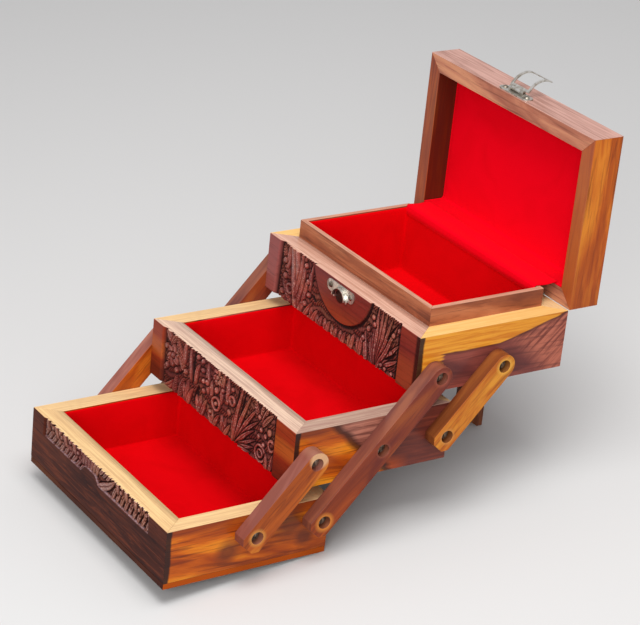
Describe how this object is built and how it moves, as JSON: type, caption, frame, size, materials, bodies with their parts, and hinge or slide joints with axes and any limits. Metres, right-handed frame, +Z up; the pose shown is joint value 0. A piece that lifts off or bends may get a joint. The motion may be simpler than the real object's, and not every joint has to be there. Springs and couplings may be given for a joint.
{
  "type": "carved jewelry organizer",
  "caption": "Carved wooden jewelry box with velvet lined trays that open like stairs on pivoting wooden arms, a hinged lid with hasp and catch, and a prop leg behind.",
  "frame": {"origin": "centre of the bounding box in plan, at the level of the table that the half open box stands on", "axes": "+X to the right along the carved fronts, +Y to the back, +Z up"},
  "size_m": [0.2236, 0.385, 0.2758],
  "materials": {
    "tray_front_wood": "carved, stained dark and waxed",
    "tray_side_wood": "varnished, orange brown with dark grain",
    "tray_back_wood": "varnished",
    "base_wood": "oiled",
    "lip_wood": "plain planed wood",
    "lid_wood": "varnished",
    "arm_wood_red": "varnished",
    "arm_wood_orange": "varnished",
    "velvet": "red velvet",
    "antique_nickel": "worn antique nickel",
    "screw_steel": "dull steel"
  },
  "bodies": {
    "bottom_tray": {"bottom_front": "tray_front_wood", "bottom_back": "tray_back_wood", "bottom_left": "tray_side_wood", "bottom_right": "tray_side_wood", "bottom_base": "base_wood", "bottom_lining": "velvet", "bottom_pivot_screws": "screw_steel"},
    "middle_tray": {"middle_front": "tray_front_wood", "middle_back": "tray_back_wood", "middle_left": "tray_side_wood", "middle_right": "tray_side_wood", "middle_base": "base_wood", "middle_lining": "velvet", "middle_pivot_screws": "screw_steel"},
    "top_box": {"top_front": "tray_front_wood", "top_back": "tray_back_wood", "top_left": "tray_side_wood", "top_right": "tray_side_wood", "top_base": "base_wood", "top_lining": "velvet", "top_pivot_screws": "screw_steel", "lip_front": "lip_wood", "lip_back": "lip_wood", "lip_left": "lip_wood", "lip_right": "lip_wood", "prop_leg": "lid_wood", "prop_leg_screws": "screw_steel", "catch_plate": "antique_nickel", "catch_screws": "screw_steel", "box_hinge_leaves": "antique_nickel", "box_hinge_screws": "screw_steel", "hinge_pins": "screw_steel", "hinge_cloth": "velvet"},
    "lid": {"lid_front": "lid_wood", "lid_back": "lid_wood", "lid_left": "lid_wood", "lid_right": "lid_wood", "lid_panel": "lid_wood", "lid_lining": "velvet", "lid_hinge_leaves": "antique_nickel", "lid_hinge_screws": "screw_steel", "hasp_plate": "antique_nickel", "hasp_screws": "screw_steel", "hasp_pin": "screw_steel"},
    "hasp_strap": {"hasp": "antique_nickel"},
    "front_arm_left": {"front_arm_left": "arm_wood_orange"},
    "front_arm_right": {"front_arm_right": "arm_wood_orange"},
    "long_arm_left": {"long_arm_left": "arm_wood_red"},
    "long_arm_right": {"long_arm_right": "arm_wood_red"},
    "rear_arm_left": {"rear_arm_left": "arm_wood_orange"},
    "rear_arm_right": {"rear_arm_right": "arm_wood_orange"}
  },
  "joints": [
    {"name": "fold", "type": "hinge", "parent": "bottom_tray", "child": "long_arm_right", "pos_m": [0.10605, -0.06707, 0.03299], "axis": [1, 0, 0], "range_deg": [-12, 97]},
    {"name": "long_arm_left_pivot", "type": "hinge", "parent": "bottom_tray", "child": "long_arm_left", "pos_m": [-0.10605, -0.06707, 0.03299], "axis": [1, 0, 0], "range_deg": [-12, 97]},
    {"name": "front_arm_right_pivot", "type": "hinge", "parent": "bottom_tray", "child": "front_arm_right", "pos_m": [0.10605, -0.12176, 0.03881], "axis": [1, 0, 0], "range_deg": [-12, 97]},
    {"name": "front_arm_left_pivot", "type": "hinge", "parent": "bottom_tray", "child": "front_arm_left", "pos_m": [-0.10605, -0.12176, 0.03881], "axis": [1, 0, 0], "range_deg": [-12, 97]},
    {"name": "middle_tray_pivot", "type": "hinge", "parent": "long_arm_right", "child": "middle_tray", "pos_m": [0, -0.01843, 0.0759], "axis": [1, 0, 0], "range_deg": [-97, 12]},
    {"name": "top_box_pivot", "type": "hinge", "parent": "long_arm_right", "child": "top_box", "pos_m": [0, 0.03021, 0.11882], "axis": [1, 0, 0], "range_deg": [-97, 12]},
    {"name": "rear_arm_right_pivot", "type": "hinge", "parent": "middle_tray", "child": "rear_arm_right", "pos_m": [0.10605, 0.03626, 0.07008], "axis": [1, 0, 0], "range_deg": [-12, 97]},
    {"name": "rear_arm_left_pivot", "type": "hinge", "parent": "middle_tray", "child": "rear_arm_left", "pos_m": [-0.10605, 0.03626, 0.07008], "axis": [1, 0, 0], "range_deg": [-12, 97]},
    {"name": "lid_hinge", "type": "hinge", "parent": "top_box", "child": "lid", "pos_m": [0, 0.14988, 0.13484], "axis": [1, 0, 0], "range_deg": [0, 90], "deforming": ["hinge_cloth"]},
    {"name": "hasp_hinge", "type": "hinge", "parent": "lid", "child": "hasp_strap", "pos_m": [0, 0.17068, 0.26788], "axis": [1, 0, 0], "range_deg": [-20, 130]}
  ],
  "couplings": [
    {"joint": "long_arm_left_pivot", "follows": "fold", "ratio": 1},
    {"joint": "front_arm_right_pivot", "follows": "fold", "ratio": 1},
    {"joint": "front_arm_left_pivot", "follows": "fold", "ratio": 1},
    {"joint": "middle_tray_pivot", "follows": "fold", "ratio": -1},
    {"joint": "top_box_pivot", "follows": "fold", "ratio": -1},
    {"joint": "rear_arm_right_pivot", "follows": "fold", "ratio": 1},
    {"joint": "rear_arm_left_pivot", "follows": "fold", "ratio": 1}
  ]
}
